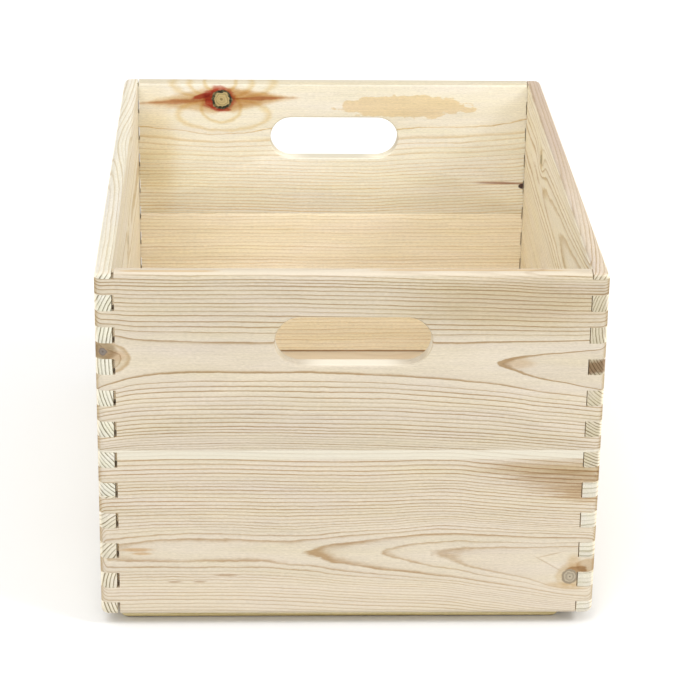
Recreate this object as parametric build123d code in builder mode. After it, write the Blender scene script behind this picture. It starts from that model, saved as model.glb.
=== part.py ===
"""Finger-jointed pine apple crate, 400 x 300 x 230 mm, with a hand hole in each short end.

Each wall is two pine boards glued edge to edge, and the four walls lock together at the
corners with a comb of 10 mm fingers.  A thin plywood base slides in a groove inside the
walls, and two battens glued under it stand proud of the walls, so that they drop inside
the rim of a crate below.

Frame: millimetres, +Z up, +Y along the length, +X to the right of the front end, with the
origin on the ground under the middle of the crate.
"""
import os

from build123d import *

# ---- Overall size ---------------------------------------------------------------------
LENGTH = 400.0
WIDTH = 300.0
HEIGHT = 230.0
FOOT_DROP = 8.0  # how far the battens stand below the walls

# ---- Boards ---------------------------------------------------------------------------
END_THICKNESS = 11.0
SIDE_THICKNESS = 10.0
FRONT_GLUE_LINE = 118.0  # heights above the ground where two boards meet
BACK_GLUE_LINE = 131.0
LEFT_GLUE_LINE = 88.0
RIGHT_GLUE_LINE = 97.0

# ---- Finger joints --------------------------------------------------------------------
FINGER_HEIGHT = 10.0
FIRST_JOINT_DROP = 3.5  # from the rim down to the first joint line
FRONT_LEFT_GAP = 1.6  # play between a side wall's inner face and the end wall's shoulder
BACK_LEFT_GAP = 0.7
RIGHT_GAP = 0.6
END_GAP = 0.6  # play between an end wall's inner face and the side wall's shoulder

# ---- Sanded edges ---------------------------------------------------------------------
CORNER_RADIUS = 5.0  # upright outer corners
RIM_OUTER_RADIUS = 4.0
RIM_INNER_RADIUS = 2.5
SKIRT_RADIUS = 3.5  # lower outer edge of the walls

# ---- Hand holes -----------------------------------------------------------------------
HOLE_WIDTH = 92.0
HOLE_HEIGHT = 30.3
FRONT_HOLE_DROP = 42.5  # from the rim down to the middle of the hole
BACK_HOLE_DROP = 41.2
HOLE_SHIFT = 1.0  # both holes sit slightly to the right of the middle
HOLE_EDGE_RADIUS = 1.2

# ---- Base and battens -----------------------------------------------------------------
BASE_THICKNESS = 4.0
BASE_UNDERSIDE = 18.0  # height of the base's lower face above the ground
BASE_TONGUE = 5.0  # how far the base reaches into each wall
GROOVE_PLAY = 0.5  # depth of the groove beyond the base's edge
BATTEN_LENGTH = 271.0
BATTEN_WIDTH = 30.0
BATTEN_SETBACK = 12.0  # from the outer face of the end wall to the batten
BATTEN_SHIFT = -4.0  # from the middle of the crate
BATTEN_END_RADIUS = 6.0
BATTEN_EDGE_RADIUS = 1.5

# ---- Worked out from the values above -------------------------------------------------
WALL_HEIGHT = HEIGHT - FOOT_DROP
FIRST_JOINT = HEIGHT - FIRST_JOINT_DROP
JOINT_ROWS = int((FIRST_JOINT - FOOT_DROP) // FINGER_HEIGHT)
INNER_WIDTH = WIDTH - 2 * SIDE_THICKNESS
INNER_LENGTH = LENGTH - 2 * END_THICKNESS


def row_centre(row):
    """Height of the middle of a row of the comb, counted down from the first joint line."""
    return FIRST_JOINT - (row + 0.5) * FINGER_HEIGHT


# The end walls have the even rows of the comb.  The side walls have the odd rows, and what
# is left over at the rim and at the skirt.
END_FINGERS = [row_centre(row) for row in range(0, JOINT_ROWS, 2)]

# ---- Wall ring: the outline of all four walls, with every sanded edge ------------------
with BuildPart() as wall_ring:
    with BuildSketch(Plane.XY.offset(FOOT_DROP)):
        RectangleRounded(WIDTH, LENGTH, CORNER_RADIUS)
    extrude(amount=WALL_HEIGHT)
    fillet(wall_ring.faces().sort_by(Axis.Z)[-1].edges(), RIM_OUTER_RADIUS)
    fillet(wall_ring.faces().sort_by(Axis.Z)[0].edges(), SKIRT_RADIUS)
    with BuildSketch(Plane.XY.offset(FOOT_DROP)):
        Rectangle(INNER_WIDTH, INNER_LENGTH)
    extrude(amount=WALL_HEIGHT, mode=Mode.SUBTRACT)
    fillet(wall_ring.faces().sort_by(Axis.Z)[-1].inner_wires()[0].edges(), RIM_INNER_RADIUS)

# ---- Groove: the slot inside the four walls that holds the base ------------------------
with BuildPart() as groove:
    with BuildSketch(Plane.XY.offset(BASE_UNDERSIDE)):
        Rectangle(
            INNER_WIDTH + 2 * (BASE_TONGUE + GROOVE_PLAY),
            INNER_LENGTH + 2 * (BASE_TONGUE + GROOVE_PLAY),
        )
    extrude(amount=BASE_THICKNESS)


def end_board(label, direction, bottom, top, hole_drop=None):
    """One board of an end wall.  direction is -1 at the front and +1 at the back."""
    outer_face = Plane(
        origin=(0, direction * LENGTH / 2, 0), x_dir=(1, 0, 0), z_dir=(0, -1, 0)
    )
    left_gap = FRONT_LEFT_GAP if direction < 0 else BACK_LEFT_GAP
    left_shoulder = -INNER_WIDTH / 2 + left_gap
    right_shoulder = INNER_WIDTH / 2 - RIGHT_GAP
    with BuildPart() as board:
        with BuildSketch(outer_face):
            with Locations(((left_shoulder + right_shoulder) / 2, HEIGHT / 2)):
                Rectangle(right_shoulder - left_shoulder, HEIGHT)
            with Locations([(0, height) for height in END_FINGERS]):
                Rectangle(WIDTH, FINGER_HEIGHT)
            with Locations((0, (bottom + top) / 2)):
                Rectangle(WIDTH, top - bottom, mode=Mode.INTERSECT)
        extrude(amount=direction * END_THICKNESS)
        add(wall_ring.part, mode=Mode.INTERSECT)
        add(groove.part, mode=Mode.SUBTRACT)
        if hole_drop:
            with BuildSketch(outer_face):
                with Locations((HOLE_SHIFT, HEIGHT - hole_drop)):
                    SlotOverall(HOLE_WIDTH, HOLE_HEIGHT)
            extrude(amount=direction * END_THICKNESS, mode=Mode.SUBTRACT)
            flat_faces = board.faces().filter_by(Axis.Y).sort_by(SortBy.AREA)[-2:]
            fillet([face.inner_wires()[0].edges() for face in flat_faces], HOLE_EDGE_RADIUS)
    board.part.label = label
    return board.part


def side_board(label, direction, bottom, top):
    """One board of a side wall.  direction is -1 on the left and +1 on the right."""
    outer_face = Plane(
        origin=(direction * WIDTH / 2, 0, 0), x_dir=(0, 1, 0), z_dir=(1, 0, 0)
    )
    socket_depth = END_THICKNESS + END_GAP
    with BuildPart() as board:
        with BuildSketch(outer_face):
            with Locations((0, (bottom + top) / 2)):
                Rectangle(LENGTH, top - bottom)
            with Locations(
                [
                    (end * (LENGTH - socket_depth) / 2, height)
                    for end in (-1, 1)
                    for height in END_FINGERS
                ]
            ):
                Rectangle(socket_depth, FINGER_HEIGHT, mode=Mode.SUBTRACT)
        extrude(amount=-direction * SIDE_THICKNESS)
        add(wall_ring.part, mode=Mode.INTERSECT)
        add(groove.part, mode=Mode.SUBTRACT)
    board.part.label = label
    return board.part


# ---- End walls ------------------------------------------------------------------------
boards = [
    end_board("front_upper_board", -1, FRONT_GLUE_LINE, HEIGHT, FRONT_HOLE_DROP),
    end_board("front_lower_board", -1, FOOT_DROP, FRONT_GLUE_LINE),
    end_board("back_upper_board", 1, BACK_GLUE_LINE, HEIGHT, BACK_HOLE_DROP),
    end_board("back_lower_board", 1, FOOT_DROP, BACK_GLUE_LINE),
]

# ---- Side walls -----------------------------------------------------------------------
boards += [
    side_board("left_upper_board", -1, LEFT_GLUE_LINE, HEIGHT),
    side_board("left_lower_board", -1, FOOT_DROP, LEFT_GLUE_LINE),
    side_board("right_upper_board", 1, RIGHT_GLUE_LINE, HEIGHT),
    side_board("right_lower_board", 1, FOOT_DROP, RIGHT_GLUE_LINE),
]

# ---- Base panel -----------------------------------------------------------------------
with BuildPart() as base_panel:
    with BuildSketch(Plane.XY.offset(BASE_UNDERSIDE)):
        Rectangle(INNER_WIDTH + 2 * BASE_TONGUE, INNER_LENGTH + 2 * BASE_TONGUE)
    extrude(amount=BASE_THICKNESS)
base_panel.part.label = "base_panel"


def foot_batten(label, direction):
    """A batten across the crate, under one end of the base, with rounded lower corners."""
    outer_face = Plane(
        origin=(BATTEN_SHIFT, direction * (LENGTH / 2 - BATTEN_SETBACK), 0),
        x_dir=(1, 0, 0),
        z_dir=(0, -1, 0),
    )
    with BuildPart() as batten:
        with BuildSketch(outer_face):
            with Locations((0, BASE_UNDERSIDE / 2)):
                Rectangle(BATTEN_LENGTH, BASE_UNDERSIDE)
        extrude(amount=direction * BATTEN_WIDTH)
        corners = batten.edges().filter_by(Axis.Y).group_by(Axis.Z)[0]
        fillet(corners, BATTEN_END_RADIUS)
        underside = batten.faces().sort_by(Axis.Z)[0]
        fillet(underside.edges().filter_by(Axis.X), BATTEN_EDGE_RADIUS)
    batten.part.label = label
    return batten.part


battens = [foot_batten("front_foot_batten", -1), foot_batten("back_foot_batten", 1)]

# ---- Write one file for each piece ----------------------------------------------------
os.makedirs("parts", exist_ok=True)
for piece in boards + [base_panel.part] + battens:
    export_step(piece, f"parts/{piece.label}.step")
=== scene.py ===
import math
from dataclasses import dataclass

import bmesh
import bpy
from mathutils import Matrix, Vector


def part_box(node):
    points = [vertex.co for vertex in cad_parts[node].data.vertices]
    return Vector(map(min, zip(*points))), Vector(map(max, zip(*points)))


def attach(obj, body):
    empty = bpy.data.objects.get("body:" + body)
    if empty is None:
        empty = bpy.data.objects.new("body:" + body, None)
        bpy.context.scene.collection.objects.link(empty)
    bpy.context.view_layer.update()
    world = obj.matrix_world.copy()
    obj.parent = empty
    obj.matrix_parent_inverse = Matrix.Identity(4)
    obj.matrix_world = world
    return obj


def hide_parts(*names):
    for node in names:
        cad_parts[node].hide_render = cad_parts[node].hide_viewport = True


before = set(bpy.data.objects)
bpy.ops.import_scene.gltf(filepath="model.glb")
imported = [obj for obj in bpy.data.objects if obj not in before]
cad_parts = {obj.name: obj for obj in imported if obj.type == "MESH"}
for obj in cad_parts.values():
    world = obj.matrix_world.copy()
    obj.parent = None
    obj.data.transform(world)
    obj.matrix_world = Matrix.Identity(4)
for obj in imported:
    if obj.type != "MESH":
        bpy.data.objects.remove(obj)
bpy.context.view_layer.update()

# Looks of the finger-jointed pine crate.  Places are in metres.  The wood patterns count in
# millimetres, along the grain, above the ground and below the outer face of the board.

SCENE = bpy.context.scene
MM = 0.001


# ---- Fields: arithmetic on node outputs -----------------------------------------------

# Sockets of a colour Mix node, which has others of the same names for numbers.
MIX_FIRST = 6
MIX_SECOND = 7
MIX_RESULT = 2


class Field:
    """A number, point or colour at each place on a surface: one node output."""

    def __init__(self, tree, socket):
        self.tree = tree
        self.socket = socket

    def __add__(self, other):
        return compute(self.tree, "ADD", self, other)

    def __radd__(self, other):
        return compute(self.tree, "ADD", other, self)

    def __sub__(self, other):
        return compute(self.tree, "SUBTRACT", self, other)

    def __rsub__(self, other):
        return compute(self.tree, "SUBTRACT", other, self)

    def __mul__(self, other):
        return compute(self.tree, "MULTIPLY", self, other)

    def __truediv__(self, other):
        return compute(self.tree, "DIVIDE", self, other)

    def __rtruediv__(self, other):
        return compute(self.tree, "DIVIDE", other, self)


def feed(tree, socket, value):
    """Gives a node's input a field or a plain value."""
    if isinstance(value, Field):
        tree.links.new(value.socket, socket)
    else:
        socket.default_value = value


def compute(tree, operation, *values):
    """A sum, product or other piece of arithmetic on fields and plain numbers."""
    node = tree.nodes.new("ShaderNodeMath")
    node.operation = operation
    for socket, value in zip(node.inputs, values):
        feed(tree, socket, value)
    return Field(tree, node.outputs[0])


def point(tree, x, y, z):
    """Three numbers put together as one point or colour."""
    node = tree.nodes.new("ShaderNodeCombineXYZ")
    for socket, value in zip(node.inputs, (x, y, z)):
        feed(tree, socket, value)
    return Field(tree, node.outputs[0])


def coordinates(tree, kind):
    """The x, y and z of a surface: of its place for "Object", of its direction for "Normal"."""
    texture = tree.nodes.new("ShaderNodeTexCoord")
    axes = tree.nodes.new("ShaderNodeSeparateXYZ")
    tree.links.new(texture.outputs[kind], axes.inputs[0])
    return [Field(tree, output) for output in axes.outputs]


def noise(where, detail=2.0, roughness=0.5):
    """Smooth noise about 0, from about -0.5 to 0.5."""
    node = where.tree.nodes.new("ShaderNodeTexNoise")
    feed(where.tree, node.inputs["Vector"], where)
    node.inputs["Scale"].default_value = 1.0
    node.inputs["Detail"].default_value = detail
    node.inputs["Roughness"].default_value = roughness
    return Field(where.tree, node.outputs["Fac"]) - 0.5


def chance(number):
    """A value from 0 to 1 that differs from one whole number to the next."""
    node = number.tree.nodes.new("ShaderNodeTexWhiteNoise")
    node.noise_dimensions = "1D"
    feed(number.tree, node.inputs["W"], number)
    return Field(number.tree, node.outputs["Value"])


def between(low, high, share):
    """From low to high as share goes from 0 to 1."""
    return share * (high - low) + low


def step(value, low, high):
    """0 below low and 1 above high, with a soft rise between.  Falls when low is above high."""
    node = value.tree.nodes.new("ShaderNodeMapRange")
    node.interpolation_type = "SMOOTHSTEP"
    falling = low > high
    feed(value.tree, node.inputs["Value"], value)
    node.inputs["From Min"].default_value = min(low, high)
    node.inputs["From Max"].default_value = max(low, high)
    node.inputs["To Min"].default_value = 1.0 if falling else 0.0
    node.inputs["To Max"].default_value = 0.0 if falling else 1.0
    return Field(value.tree, node.outputs["Result"])


def curve(value, points):
    """value carried through a smooth curve that passes through (in, out) points."""
    inputs = [pair[0] for pair in points]
    outputs = [pair[1] for pair in points]
    start, width = min(inputs), max(inputs) - min(inputs)
    floor, height = min(outputs), max(outputs) - min(outputs)
    node = value.tree.nodes.new("ShaderNodeFloatCurve")
    line = node.mapping.curves[0]
    for _ in points[2:]:
        line.points.new(0.5, 0.5)
    for handle, (x, y) in zip(line.points, points):
        handle.location = ((x - start) / width, (y - floor) / height)
    node.mapping.update()
    feed(value.tree, node.inputs["Value"], (value - start) / width)
    return Field(value.tree, node.outputs[0]) * height + floor


def blend(tree, first, second, share, mode="MIX"):
    """first turning into second as share goes from 0 to 1, or into their product by MULTIPLY."""
    node = tree.nodes.new("ShaderNodeMix")
    node.data_type = "RGBA"
    node.blend_type = mode
    feed(tree, node.inputs["Factor"], share)
    feed(tree, node.inputs[MIX_FIRST], first)
    feed(tree, node.inputs[MIX_SECOND], second)
    return Field(tree, node.outputs[MIX_RESULT])


def shaded(tree, base, brightness):
    """A colour made brighter or darker."""
    grey = point(tree, brightness, brightness, brightness)
    return blend(tree, base, grey, 1.0, mode="MULTIPLY")


def colour(red, green, blue):
    """An sRGB colour, 0 to 255, as the linear colour that shaders take."""
    values = [channel / 255 for channel in (red, green, blue)]
    linear = [
        channel / 12.92 if channel <= 0.04045 else ((channel + 0.055) / 1.055) ** 2.4
        for channel in values
    ]
    return (*linear, 1.0)


# ---- Wood -----------------------------------------------------------------------------

ALONG_X = 0
ALONG_Y = 1
UPWARD = 2
SEED_STEP = 37.0  # from one board's pattern to the next

# Waves of the growth rings: length along the grain and height, and how far they push (mm).
RING_WAVES = ((80, 24, 2.6), (20, 6, 0.9))
RING_FUZZ = (5, 2.2, 0.35)
RING_UNEVENNESS = 0.9  # how far a ring's border strays, in rings
UNEVEN_EVERY = 5  # mm across the rings
SLOPE_REACH = 1.5  # mm to each side, where the spacing of the rings is measured
LATE_WIDTHS = (0.55, 1.54)  # mm, thinnest and widest band of late wood
LATE_STRENGTHS = (0.35, 1.05)  # faintest and darkest late wood
LATE_SHARE = 0.45  # the most of a ring that its late wood fills
BORDER_WIDTH = 0.25  # mm over which a ring ends
BOLD_FADE = 10  # mm to each side of where a bold ring starts
BOLD_STRENGTH = 0.5  # added to the darkness of a bold ring
RING_SHADE = 0.16  # slow darkening across a whole ring

DEPTH_FADE = 0.5  # mm over which a stain ends below the surface, to each side
KNOT_RING_PITCH = 3.4  # radians for each mm from the middle of a knot
HALO_STRETCH = 1.25  # of a knot's halo along the grain
HOLLOW_INNER = 0.12  # how far a hollow stain's inner edge fades, as a share of its size
HOLLOW_OUTER = 0.06
END_FACING = (0.45, 0.90)  # how squarely wood is cut where end grain begins and is full
END_CONTRAST = 1.5  # of the rings on end grain

# How much each pattern changes the brightness of the wood, and how much its yellow varies.
BROAD_TONE = 0.12
FIBRE_TONE = 0.22
FLECK_TONE = 0.5
WARMTH = 0.22

GRAIN_RELIEF = 0.12 * MM
VENEER_RELIEF = 0.1 * MM
WOOD_SPECULAR = 0.25


@dataclass
class Knot:
    """A branch that comes through the board's faces."""

    along: float
    height: float
    radius: float  # 0 where only the rings show that a branch is near
    lift: float  # how far it pushes the rings away from the pith
    reach: tuple  # how far along and across the grain it bends the rings
    heart: tuple = colour(176, 140, 100)
    rings: tuple = colour(130, 98, 66)
    bark: tuple = colour(120, 84, 56)
    halo: tuple = colour(206, 160, 110)  # the stained wood round the bark
    halo_width: float = 3.0
    halo_shift: tuple = (0.0, 0.0)


@dataclass
class Stain:
    """A patch of colour, as an ellipse with a ragged edge, or a diamond when pointed."""

    along: float
    height: float
    size: tuple  # half length along the grain and half height
    tint: tuple
    strength: float
    softness: float  # width of the edge, as a share of the size
    raggedness: float
    streaks: float = 0.0  # how far the edge runs out along the fibres
    slope: float = 0.0  # rise of the long axis along the grain
    hollow: float = 0.0  # share of the patch left clear in the middle
    pointed: bool = False
    depths: tuple = (-5.0, 20.0)  # it shows between these depths below the outer face
    mode: str = "MULTIPLY"


@dataclass
class Board:
    """Where a board was sawn from the trunk, and the marks on it."""

    node: str
    grain: int
    pith_height: tuple  # (along, height of the pith above the ground)
    pith_depth: tuple  # (along, depth of the pith below the outer face)
    rings: tuple  # (distance from the pith, ring number)
    early: tuple = colour(202, 191, 171)  # pale wood between the dark lines
    late: tuple = colour(158, 134, 100)
    end_early: tuple = colour(188, 168, 134)  # the same two on end grain
    end_late: tuple = colour(146, 120, 88)
    contrast: float = 1.3
    waviness: float = 0.7
    bold: tuple = ()  # (ring number, where along the grain its late wood turns broad and dark)
    knots: tuple = ()
    stains: tuple = ()


class Place:
    """Where a surface lies in its board, in millimetres."""

    def __init__(self, tree, board):
        axes = coordinates(tree, "Object")
        low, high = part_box(board.node)
        across = ALONG_Y if board.grain == ALONG_X else ALONG_X
        outward = 1.0 if low[across] + high[across] > 0 else -1.0
        face = high[across] if outward > 0 else low[across]
        self.tree = tree
        self.seed = SEED_STEP * (1 + sorted(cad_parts).index(board.node))
        self.along = axes[board.grain] * (1 / MM)
        self.height = axes[UPWARD] * (1 / MM)
        self.depth = (axes[across] - face) * (-outward / MM)

    def noise(self, long, short, detail=2.0, roughness=0.5):
        """Noise drawn out along the grain: its size in millimetres, along and across."""
        where = point(
            self.tree, self.along / long + self.seed, self.height / short, self.depth / short
        )
        return noise(where, detail=detail, roughness=roughness)


def end_grain(tree, board):
    """1 where the surface is sawn across the grain."""
    facing = compute(tree, "ABSOLUTE", coordinates(tree, "Normal")[board.grain])
    return step(facing, *END_FACING)


def distance_in_ellipse(place, middle, size, slope=0.0, pointed=False):
    """0 at the middle of an ellipse and 1 on its edge.  A pointed one is a diamond."""
    offset = place.along - middle[0]
    across = offset / size[0]
    up = (place.height - middle[1] - offset * slope) / size[1]
    if pointed:
        return compute(place.tree, "ABSOLUTE", across) + compute(place.tree, "ABSOLUTE", up)
    return compute(place.tree, "SQRT", across * across + up * up)


def growth_rings(board, place):
    """Strength of the dark late wood: thin lines that end sharply at each ring's border."""
    tree = place.tree
    up = place.height - curve(place.along, board.pith_height)
    inward = place.depth - curve(place.along, board.pith_depth)
    radius = compute(tree, "SQRT", up * up + inward * inward)
    for long, short, push in RING_WAVES:
        radius = radius + place.noise(long, short) * (push * board.waviness)
    long, short, push = RING_FUZZ
    radius = radius + place.noise(long, short) * push
    for knot in board.knots:
        near = distance_in_ellipse(place, (knot.along, knot.height), knot.reach)
        radius = radius + compute(tree, "EXPONENT", near * near * -1.0) * knot.lift

    uneven = noise(point(tree, radius / UNEVEN_EVERY + place.seed, 0.0, 0.0))
    ring = curve(radius, board.rings) + uneven * RING_UNEVENNESS
    outer = curve(radius + SLOPE_REACH, board.rings)
    inner = curve(radius - SLOPE_REACH, board.rings)
    rings_per_mm = (outer - inner) / (2 * SLOPE_REACH)
    number = compute(tree, "FLOOR", ring)
    part = ring - number
    to_border = (1.0 - part) / rings_per_mm
    width = between(*LATE_WIDTHS, chance(number + place.seed + 0.5))
    strength = between(*LATE_STRENGTHS, chance(number + place.seed))
    for bold_number, start in board.bold:
        bold = compute(tree, "COMPARE", number, bold_number, 0.5)
        bold = bold * step(place.along, start - BOLD_FADE, start + BOLD_FADE)
        strength = strength + bold * BOLD_STRENGTH
        width = width * (bold + 1.0)
    band = compute(tree, "MINIMUM", LATE_SHARE / rings_per_mm, width)
    # Late wood darkens over most of its band, and stops sharply at the ring's border.
    late = step(to_border / band, 1.1, 0.2) * step(to_border, 0.0, BORDER_WIDTH)
    patchy = place.noise(45, 5) * 1.5 + 0.9
    return late * strength * patchy + part * part * RING_SHADE


def new_material(name):
    """A material, with its node tree and its shader."""
    material = bpy.data.materials.new(name)
    material.use_nodes = True
    return material, material.node_tree, material.node_tree.nodes["Principled BSDF"]


def finish_wood(shader, base, roughness, relief, depth):
    """Gives a wood shader its colour, its dull gloss and a bump of the given depth in metres."""
    tree = base.tree
    bump = tree.nodes.new("ShaderNodeBump")
    bump.inputs["Distance"].default_value = depth
    bump.inputs["Strength"].default_value = 1.0
    tree.links.new(relief.socket, bump.inputs["Height"])
    tree.links.new(bump.outputs["Normal"], shader.inputs["Normal"])
    tree.links.new(base.socket, shader.inputs["Base Color"])
    tree.links.new(roughness.socket, shader.inputs["Roughness"])
    shader.inputs["Specular IOR Level"].default_value = WOOD_SPECULAR


def pine(board):
    """Solid pine: growth rings round a pith, so that faces and end grain agree."""
    material, tree, shader = new_material(board.node + "_pine")
    place = Place(tree, board)
    late = growth_rings(board, place)
    sawn = end_grain(tree, board)

    # Fibres and flecks along the grain, and broad differences of tone.
    lines = place.noise(120, 0.9)
    fibre = place.noise(14, 0.55) + lines * 0.8
    flecks = place.noise(2.6, 0.55, detail=3.0, roughness=0.65)
    tone = place.noise(110, 16) + place.noise(30, 5) * 0.7
    warmth = place.noise(70, 9) * WARMTH + 1.0

    face = blend(tree, board.early, board.late, late * board.contrast)
    end = blend(tree, board.end_early, board.end_late, late * END_CONTRAST)
    base = blend(tree, face, end, sawn)
    base = blend(tree, base, point(tree, 1.0, 1.0, warmth), 1.0, mode="MULTIPLY")
    brightness = fibre * FIBRE_TONE + flecks * FLECK_TONE + tone * BROAD_TONE + 1.0
    base = shaded(tree, base, brightness)

    ragged_edge = place.noise(7, 4, detail=4.0)
    streaky_edge = place.noise(30, 2)
    for stain in board.stains:
        reach = distance_in_ellipse(
            place, (stain.along, stain.height), stain.size, stain.slope, stain.pointed
        )
        reach = reach + ragged_edge * stain.raggedness
        if stain.streaks:
            reach = reach + streaky_edge * stain.streaks
        cover = step(reach, 1.0 + stain.softness, 1.0 - stain.softness)
        if stain.hollow:
            cover = cover * step(reach, stain.hollow - HOLLOW_INNER, stain.hollow + HOLLOW_OUTER)
        shallow, deep = stain.depths
        cover = cover * step(place.depth, shallow - DEPTH_FADE, shallow + DEPTH_FADE)
        cover = cover * step(place.depth, deep + DEPTH_FADE, deep - DEPTH_FADE)
        base = blend(tree, base, stain.tint, cover * stain.strength, mode=stain.mode)
    for knot in board.knots:
        if knot.radius:
            base = paint_knot(base, knot, place)

    roughness = 0.62 - late * 0.1 + fibre * 0.12 + sawn * 0.15
    relief = late * 0.5 + fibre * 0.8 + flecks * 0.5
    finish_wood(shader, base, roughness, relief, GRAIN_RELIEF)
    return material


def paint_knot(base, knot, place):
    """Draws the branch itself: a ringed heart inside dark bark, and stained wood round it."""
    tree = place.tree
    rough = place.noise(3.5, 3.5, detail=3.0)
    patches = place.noise(6, 4, detail=3.0)
    reach = distance_in_ellipse(place, (knot.along, knot.height), (knot.radius, knot.radius))
    reach = reach + rough * 0.5
    halo_middle = (knot.along + knot.halo_shift[0], knot.height + knot.halo_shift[1])
    halo_radius = knot.radius + knot.halo_width
    halo_size = (halo_radius * HALO_STRETCH, halo_radius)
    halo_reach = distance_in_ellipse(place, halo_middle, halo_size)
    halo = step(halo_reach + patches * 0.9, 1.2, 0.85) * (patches * 1.6 + 0.9)
    base = blend(tree, base, knot.halo, halo, mode="MULTIPLY")
    waves = compute(tree, "SINE", reach * (knot.radius * KNOT_RING_PITCH)) * 0.5 + 0.5
    darkness = waves * step(reach, 0.0, 0.9) + step(reach, 0.2, 0.1)
    heart = blend(tree, knot.heart, knot.rings, darkness)
    heart = blend(tree, heart, knot.bark, step(reach, 0.68, 0.82) * (rough * 2.4 + 0.9))
    return blend(tree, base, heart, step(reach, 1.08, 0.96))


# ---- The boards -----------------------------------------------------------------------

HOLE_INSIDE = (0.7, 10.5)  # depths inside a hand hole
INNER_FACE = (8.0, 12.0)
RIM = 231.0  # just above the walls, so that a low ellipse there tints their top edge
ALL_ALONG = 400  # mm: an ellipse as long as this is a stripe
# A stripe this size at RIM tints a wall's whole top face apart from its other faces: painted light
# on the front wall's top and painted shade on the other walls' tops.
RIM_STRIPE = (ALL_ALONG, 2.4)
HOLE_COVER = (50, 18)  # covers a hand hole

RIM_STREAK = colour(238, 214, 178)
SCRATCH = colour(228, 198, 160)
NICK = colour(180, 150, 116)
KNOT_LOOP = colour(242, 228, 196)
KNOT_WING = colour(226, 200, 164)

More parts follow.
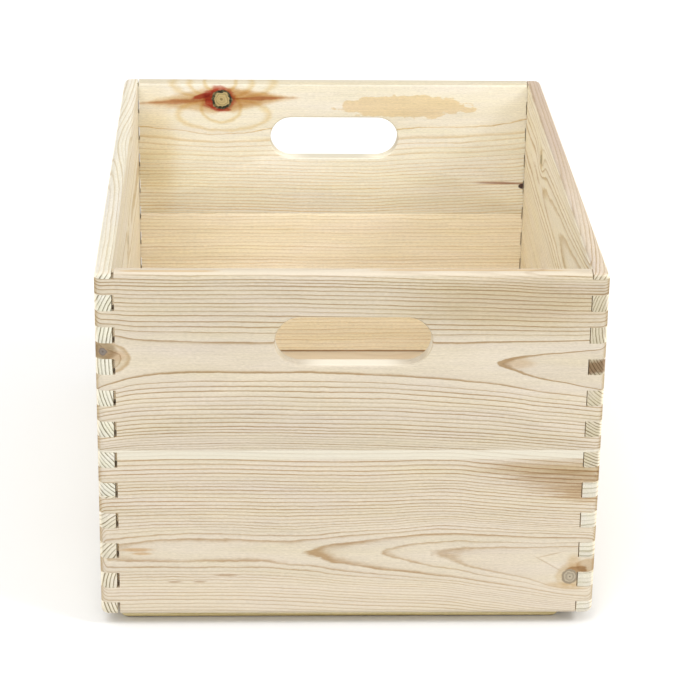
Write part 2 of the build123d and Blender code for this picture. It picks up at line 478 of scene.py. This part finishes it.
BOARDS = [
    # The front boards' pale wood is darker than the other boards' partly because the wood differs
    # and partly as painted shade for the shade on the crate's front face. front_upper_board takes
    # Board's default colours.
    Board(
        node="front_upper_board",
        grain=ALONG_X,
        pith_height=(
            (-150, 175.5), (-100, 177.8), (0, 177.2), (50, 175.6), (88, 174), (112, 172),
            (150, 170),
        ),
        pith_depth=(
            (-150, 9.0), (-138, 13.8), (-112, 17.0), (0, 17.4), (50, 16.6), (88, 14.7), (98, 13.8),
            (112, 12.2), (130, 10.4), (150, 6.0),
        ),
        rings=(
            (0, 0), (3, 1), (14.7, 2), (20.5, 3), (23.5, 4), (26.1, 5), (28.7, 6), (31.2, 7),
            (36, 9), (52, 16), (60, 21),
        ),
        bold=((1, 60),),
        knots=(
            Knot(
                -145.5, 181.2, 3.0, 0.0, (8, 8),
                heart=colour(124, 114, 104), rings=colour(100, 90, 82), bark=colour(150, 126, 96),
                halo=colour(226, 220, 208), halo_width=2.6,
            ),
        ),
        stains=(
            # Painted light: the hand hole's inner faces are made lighter than the board, for the
            # light that falls on the hole's lower face.
            Stain(
                1, 187.5, HOLE_COVER, colour(232, 224, 206), 0.9, 0.1, 0.0,
                depths=HOLE_INSIDE, mode="MIX",
            ),
            Stain(0, 214, (ALL_ALONG, 26), colour(248, 247, 244), 0.9, 0.3, 0.2),
            Stain(92, 212, (55, 16), colour(240, 234, 220), 0.9, 0.5, 0.4, streaks=0.6),
            # Painted light: the front wall's top face lighter than its front face.
            Stain(0, RIM, RIM_STRIPE, colour(216, 204, 184), 0.6, 0.15, 0.1, mode="MIX"),
            Stain(-108, RIM, (46, 2.6), RIM_STREAK, 0.8, 0.15, 0.3, pointed=True, depths=(3, 5.5)),
            Stain(70, RIM, (90, 2.6), RIM_STREAK, 0.8, 0.15, 0.3, pointed=True, depths=(5, 8)),
            Stain(98, 174, (8, 3.2), colour(236, 220, 198), 0.7, 0.6, 0.4, streaks=0.8),
            Stain(-146, 177.2, (16.5, 10.4), colour(242, 236, 226), 0.9, 0.06, 0.15),
            Stain(-146, 177.2, (16.5, 10.4), colour(230, 216, 196), 0.9, 0.06, 0.15, hollow=0.9),
            Stain(-138, 178.5, (6, 3.5), colour(244, 228, 214), 0.7, 0.4, 0.6),
            Stain(-144, 181.5, (7, 5), colour(214, 206, 192), 0.8, 0.15, 0.4),
        ),
    ),
    Board(
        node="front_lower_board",
        grain=ALONG_X,
        pith_height=(
            (-150, 50.3), (-90, 51.5), (-29, 50), (20, 49), (48, 49.2), (80, 46.5), (112, 43),
            (150, 40),
        ),
        pith_depth=(
            (-150, -30), (-90, -29.5), (-29, -29.1), (-6, -28.1), (20, -26.9), (48, -25.6),
            (102, -23.2), (150, -21),
        ),
        rings=(
            (0, 0), (20, 7), (25.4, 8), (26.9, 9), (29, 10), (31, 11.4), (35, 15.4), (42, 20.5),
            (50, 24.7), (58, 29.2), (67.5, 33), (75, 36),
        ),
        early=colour(201, 190, 170),
        late=colour(162, 136, 102),
        knots=(
            Knot(
                135, 33.4, 5.0, -3.0, (17, 11),
                heart=colour(172, 160, 138), rings=colour(118, 108, 92), bark=colour(142, 128, 106),
                halo=colour(238, 226, 206), halo_width=2.6, halo_shift=(1.5, 1.0),
            ),
        ),
        stains=(
            Stain(0, 115.2, (ALL_ALONG, 3.0), colour(214, 210, 194), 0.62, 0.12, 0.1, mode="MIX"),
            Stain(-128, 52.2, (9, 1.2), SCRATCH, 0.8, 0.5, 0.6),
            Stain(-125, 49.6, (6, 0.9), SCRATCH, 0.7, 0.5, 0.6),
            Stain(-105, 30.5, (4, 0.5), NICK, 0.8, 0.5, 0.5),
            Stain(-90, 30.5, (4, 0.5), NICK, 0.8, 0.5, 0.5),
            Stain(-74, 35.0, (7, 0.5), colour(190, 160, 126), 0.8, 0.5, 0.5),
            Stain(0, 14, (ALL_ALONG, 18), colour(212, 200, 180), 0.3, 0.6, 0.3, mode="MIX"),
            Stain(122, 105.5, (42, 5), colour(220, 205, 178), 0.8, 0.65, 0.3, streaks=1.6),
            Stain(136, 97, (32, 7), colour(214, 196, 170), 0.8, 0.7, 0.3, streaks=1.8),
            Stain(144, 89, (20, 5), colour(224, 206, 180), 0.8, 0.5, 0.3, streaks=1.8),
            Stain(145.5, 40.8, (7, 4.6), colour(224, 208, 186), 0.85, 0.12, 0.3),
            Stain(137, 43, (4.0, 5), colour(238, 222, 198), 0.8, 0.5, 0.6),
            Stain(132, 27, (11, 2.2), colour(240, 226, 202), 0.8, 0.5, 0.6, slope=-0.1),
            Stain(121, 44, (8, 0.6), colour(212, 200, 180), 0.4, 0.4, 1.2, slope=-0.6, mode="MIX"),
            Stain(
                121, 42.4, (8, 0.5), colour(160, 134, 104), 0.45, 0.4, 1.2,
                slope=-0.6, mode="MIX",
            ),
            Stain(
                122, 48.2, (8, 0.5), colour(164, 140, 110), 0.45, 0.4, 1.0,
                slope=0.25, mode="MIX",
            ),
        ),
    ),
    Board(
        node="back_upper_board",
        grain=ALONG_X,
        pith_height=((-150, 214.5), (-60, 214), (0, 213), (60, 215), (150, 219)),
        pith_depth=((-150, -39), (0, -39), (54, -38.6), (150, -40.5)),
        rings=(
            (0, 0), (34, 5), (40.5, 6), (46, 7), (53.3, 8), (58.3, 10), (67.7, 14), (73.2, 17),
            (95, 28), (105, 33),
        ),
        early=colour(242, 237, 220),
        late=colour(214, 186, 132),
        contrast=1.05,
        waviness=1.0,
        end_early=colour(236, 226, 204),
        end_late=colour(196, 170, 130),
        knots=(
            Knot(
                -80, 217.3, 7.2, -4.0, (32, 34),
                heart=colour(198, 178, 128), rings=colour(140, 124, 82), bark=colour(42, 46, 34),
                halo=colour(204, 92, 84), halo_width=1.8, halo_shift=(-2.2, 0.4),
            ),
        ),
        stains=(
            Stain(-80.5, 211, (15.4, 11.5), KNOT_LOOP, 0.9, 0.08, 0.2, hollow=0.86),
            Stain(-79, 206, (35, 12.5), KNOT_LOOP, 0.9, 0.08, 0.2, hollow=0.9),
            Stain(-81, 230, (12.6, 8), KNOT_LOOP, 0.9, 0.08, 0.2, hollow=0.82),
            Stain(-81, 229, (24, 11), KNOT_LOOP, 0.9, 0.08, 0.2, hollow=0.88),
            Stain(-79, 229, (38, 12), KNOT_LOOP, 0.9, 0.08, 0.2, hollow=0.91),
            Stain(-86, 216.9, (52, 10), KNOT_WING, 0.85, 0.2, 0.3, slope=0.05, pointed=True),
            Stain(-72, 217.3, (44, 9.5), KNOT_WING, 0.85, 0.2, 0.3, slope=0.03, pointed=True),
            Stain(-94, 219.8, (8, 2.0), colour(200, 86, 80), 0.9, 0.3, 1.0, slope=0.3),
            Stain(-79, 209.6, (5, 1.2), colour(208, 110, 90), 0.8, 0.3, 0.9),
            Stain(
                -52, 218.3, (22, 1.6), colour(206, 146, 114), 0.75, 0.4, 0.6,
                slope=0.02, pointed=True,
            ),
            Stain(
                -112, 215.6, (26, 2.0), colour(208, 150, 110), 0.7, 0.4, 0.6,
                slope=0.05, pointed=True,
            ),
            Stain(
                52, 212.5, (46, 8), colour(244, 229, 202), 0.95, 0.05, 0.9,
                streaks=0.5, depths=INNER_FACE,
            ),
            Stain(
                1, 189, HOLE_COVER, colour(206, 198, 178), 0.9, 0.1, 0.0,
                depths=HOLE_INSIDE, mode="MIX",
            ),
            # Painted shade: the inner face darker and warmer near the left wall, where that wall's
            # shadow falls.
            Stain(-128, 175, (14, 40), colour(246, 238, 220), 0.9, 0.6, 0.2, depths=INNER_FACE),
            Stain(124, 154.8, (18, 0.9), colour(176, 132, 112), 0.85, 0.5, 0.5, slope=-0.02),
            Stain(139, 152.5, (3, 2.0), colour(70, 40, 40), 0.95, 0.2, 0.5),
            # Painted shade: the back wall's top face darker than its other faces.
            Stain(0, RIM, RIM_STRIPE, colour(213, 207, 196), 1.0, 0.15, 0.1),
        ),
    ),
    Board(
        node="back_lower_board",
        grain=ALONG_X,
        pith_height=((-150, -42), (150, -38)),
        pith_depth=((-150, 60), (150, 66)),
        rings=((0, 0), (100, 45), (200, 86)),
        early=colour(248, 237, 212),
        late=colour(216, 188, 142),
        contrast=0.85,
        waviness=1.3,
        stains=(
            Stain(
                0, 22.4, (ALL_ALONG, 0.8), colour(160, 128, 90), 0.9, 0.4, 0.3, depths=INNER_FACE,
            ),
        ),
    ),
    Board(
        node="left_upper_board",
        grain=ALONG_Y,
        pith_height=((-200, 176), (200, 170)),
        pith_depth=((-200, 80), (200, 78)),
        rings=((0, 0), (150, 70)),
        early=colour(238, 230, 210),
        late=colour(206, 186, 148),
        contrast=0.95,
        end_early=colour(214, 210, 192),
        end_late=colour(118, 110, 86),
        knots=(
            Knot(
                10, 174.6, 3.2, 3.0, (16, 8),
                heart=colour(160, 150, 130), rings=colour(128, 118, 98), bark=colour(150, 138, 112),
                halo=colour(228, 218, 196),
            ),
            Knot(50, RIM, 0.0, -8.0, (75, 13)),
        ),
        # Painted shade: the left wall's top face darker than its other faces.
        stains=(Stain(0, RIM, RIM_STRIPE, colour(232, 232, 234), 1.0, 0.15, 0.1),),
    ),
    Board(
        node="left_lower_board",
        grain=ALONG_Y,
        pith_height=((-200, 25), (200, 30)),
        pith_depth=((-200, 40), (200, 36)),
        rings=((0, 0), (120, 55)),
        early=colour(236, 228, 208),
        late=colour(200, 178, 140),
        end_early=colour(208, 200, 180),
        end_late=colour(124, 112, 86),
    ),
    Board(
        node="right_upper_board",
        grain=ALONG_Y,
        pith_height=((-200, 197), (-60, 192), (60, 190), (200, 191)),
        pith_depth=((-200, -34), (-60, -40), (200, -43)),
        rings=((0, 0), (130, 72)),
        early=colour(246, 237, 214),
        late=colour(206, 182, 140),
        contrast=1.05,
        end_early=colour(194, 184, 160),
        end_late=colour(126, 112, 84),
        knots=(
            Knot(
                88, 205.8, 3.4, 4.0, (20, 10),
                heart=colour(172, 158, 128), rings=colour(138, 126, 98), bark=colour(150, 134, 104),
                halo=colour(226, 214, 188),
            ),
        ),
        stains=(
            Stain(-198, 171.5, (5, 4.6), colour(150, 118, 84), 0.85, 0.3, 1.2),
            # Painted shade: the right wall's top face darker than its other faces, and its far half
            # darker still in the next stripe.
            Stain(0, RIM, RIM_STRIPE, colour(213, 205, 202), 1.0, 0.15, 0.1),
            Stain(140, RIM, (190, 2.4), colour(233, 226, 224), 1.0, 0.5, 0.3),
        ),
    ),
    Board(
        node="right_lower_board",
        grain=ALONG_Y,
        pith_height=((-200, -60), (200, -62)),
        pith_depth=((-200, 3), (200, 6)),
        rings=((0, 0), (180, 60)),
        early=colour(240, 230, 208),
        late=colour(206, 184, 144),
        end_early=colour(206, 200, 184),
        end_late=colour(172, 164, 142),
    ),
]

BATTENS = [
    Board(
        node=node,
        grain=ALONG_X,
        pith_height=((-140, -40), (140, -42)),
        pith_depth=((-140, 20), (140, 22)),
        rings=((0, 0), (90, 36)),
        early=colour(238, 228, 194),
        late=colour(206, 190, 144),
        stains=(
            # Painted shade: the batten's outer face darker towards the floor.
            Stain(0, 0, (ALL_ALONG, 3.0), colour(226, 216, 184), 0.9, 0.5, 0.2, depths=(-1, 2)),
            # Painted shade: a dark brown line along the outer edge where the batten meets the
            # floor, standing in for the contact shadow.
            Stain(0, 0, (ALL_ALONG, 1.0), colour(128, 98, 70), 0.8, 0.3, 0.2, depths=(-1, 1)),
        ),
    )
    for node in ("front_foot_batten", "back_foot_batten")
]


def plywood():
    """The base's face veneer: smooth, with faint streaks along its grain."""
    material, tree, shader = new_material("base_plywood")
    along, across, up = (axis * (1 / MM) for axis in coordinates(tree, "Object"))
    hills = noise(point(tree, along / 260, across / 60, up / 60), detail=3.0) * 14.0
    part = hills - compute(tree, "FLOOR", hills)
    late = step(part, 0.2, 0.8) * step(part, 1.0, 0.85)
    fibre = noise(point(tree, along / 16, across * 1.2, up * 1.2), detail=4.0, roughness=0.65)
    tone = noise(point(tree, along / 90, across / 30, up))
    base = blend(tree, colour(224, 210, 188), colour(204, 182, 152), late * 0.3)
    base = shaded(tree, base, fibre * 0.2 + tone * 0.14 + 1.0)
    finish_wood(shader, base, 0.6 + fibre * 0.14, fibre + late * 0.3, VENEER_RELIEF)
    return material


# ---- Pieces ---------------------------------------------------------------------------

WELD = 0.01 * MM
FLAT = math.radians(1)
SHARP = math.radians(35)
EASED_EDGE = 0.25 * MM
SMOOTH = math.radians(32)


def sanded_copy(node, name):
    """The CAD board again, with its sharp edges eased as sandpaper leaves them."""
    shape = bmesh.new()
    shape.from_mesh(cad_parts[node].data)
    bmesh.ops.remove_doubles(shape, verts=shape.verts, dist=WELD)
    bmesh.ops.dissolve_limit(shape, angle_limit=FLAT, verts=shape.verts, edges=shape.edges)
    sharp = [
        edge
        for edge in shape.edges
        if len(edge.link_faces) == 2 and edge.calc_face_angle() > SHARP
    ]
    bmesh.ops.bevel(
        shape,
        geom=sharp,
        offset=EASED_EDGE,
        offset_type="OFFSET",
        segments=2,
        profile=0.5,
        affect="EDGES",
        clamp_overlap=True,
    )
    bmesh.ops.triangulate(shape, faces=shape.faces)
    mesh = bpy.data.meshes.new(name)
    shape.to_mesh(mesh)
    shape.free()
    mesh.shade_smooth()
    mesh.set_sharp_from_angle(angle=SMOOTH)
    piece = bpy.data.objects.new(name, mesh)
    SCENE.collection.objects.link(piece)
    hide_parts(node)
    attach(piece, "root")
    return piece


for board in BOARDS:
    piece = sanded_copy(board.node, board.node + "_sanded")
    piece.data.materials.append(pine(board))
for board in BATTENS:
    piece = sanded_copy(board.node, board.node + "_sanded")
    piece.data.materials.append(pine(board))
base = sanded_copy("base_panel", "base_panel_sanded")
base.data.materials.append(plywood())

# ---- Floor, light and camera ----------------------------------------------------------

FLOOR_SIZE = 12.0
FLOOR_COLOUR = (0.85, 0.85, 0.85, 1.0)
FLOOR_ROUGHNESS = 0.9
FLOOR_SPECULAR = 0.1
SKY_COLOUR = (1.0, 1.0, 1.0, 1.0)
SKY_STRENGTH = 0.85
LIGHTS = (  # name, direction it comes from, strength, spread in degrees
    ("right_key", (0.65, -0.30, 0.65), 0.95, 14),
    ("left_key", (-0.30, -0.45, 0.84), 0.85, 30),
    ("overhead", (0.0, -0.15, 1.0), 0.30, 60),
    ("front_fill", (0.0, -1.0, 0.25), 0.50, 50),
)
CAMERA_PLACE = Vector((-59.5, -1603.8, 757.2)) * MM
CAMERA_YAW = math.radians(-2.38)
CAMERA_TILT = math.radians(90 - 22.25)
CAMERA_ROLL = math.radians(0.94)
CAMERA_LENS = 133.4
CAMERA_SENSOR = 36.0
CAMERA_RANGE = 50.0


def make_floor():
    """A wide sheet of matt white paper on the ground."""
    half = FLOOR_SIZE / 2
    mesh = bpy.data.meshes.new("floor")
    corners = [(-half, -half, 0), (half, -half, 0), (half, half, 0), (-half, half, 0)]
    mesh.from_pydata(corners, [], [(0, 1, 2, 3)])
    floor = bpy.data.objects.new("floor", mesh)
    SCENE.collection.objects.link(floor)
    material, _, shader = new_material("floor_paper")
    shader.inputs["Base Color"].default_value = FLOOR_COLOUR
    shader.inputs["Roughness"].default_value = FLOOR_ROUGHNESS
    shader.inputs["Specular IOR Level"].default_value = FLOOR_SPECULAR
    mesh.materials.append(material)


def soft_light(name, direction, strength, spread):
    """Light from far away, from a direction, softened as by a wide sheet of diffuser."""
    light = bpy.data.lights.new(name, "SUN")
    light.energy = strength
    light.angle = math.radians(spread)
    holder = bpy.data.objects.new(name, light)
    holder.rotation_euler = (-Vector(direction)).to_track_quat("-Z", "Y").to_euler()
    SCENE.collection.objects.link(holder)


make_floor()
world = bpy.data.worlds.new("studio")
world.use_nodes = True
background = world.node_tree.nodes["Background"]
background.inputs["Color"].default_value = SKY_COLOUR
background.inputs["Strength"].default_value = SKY_STRENGTH
SCENE.world = world
for name, direction, strength, spread in LIGHTS:
    soft_light(name, direction, strength, spread)

camera = bpy.data.cameras.new("camera")
camera.lens = CAMERA_LENS
camera.sensor_width = CAMERA_SENSOR
camera.clip_end = CAMERA_RANGE
viewer = bpy.data.objects.new("camera", camera)
viewer.matrix_world = (
    Matrix.Translation(CAMERA_PLACE)
    @ Matrix.Rotation(CAMERA_YAW, 4, "Z")
    @ Matrix.Rotation(CAMERA_TILT, 4, "X")
    @ Matrix.Rotation(CAMERA_ROLL, 4, "Z")
)
SCENE.collection.objects.link(viewer)
SCENE.camera = viewer
SCENE.view_settings.view_transform = "Standard"
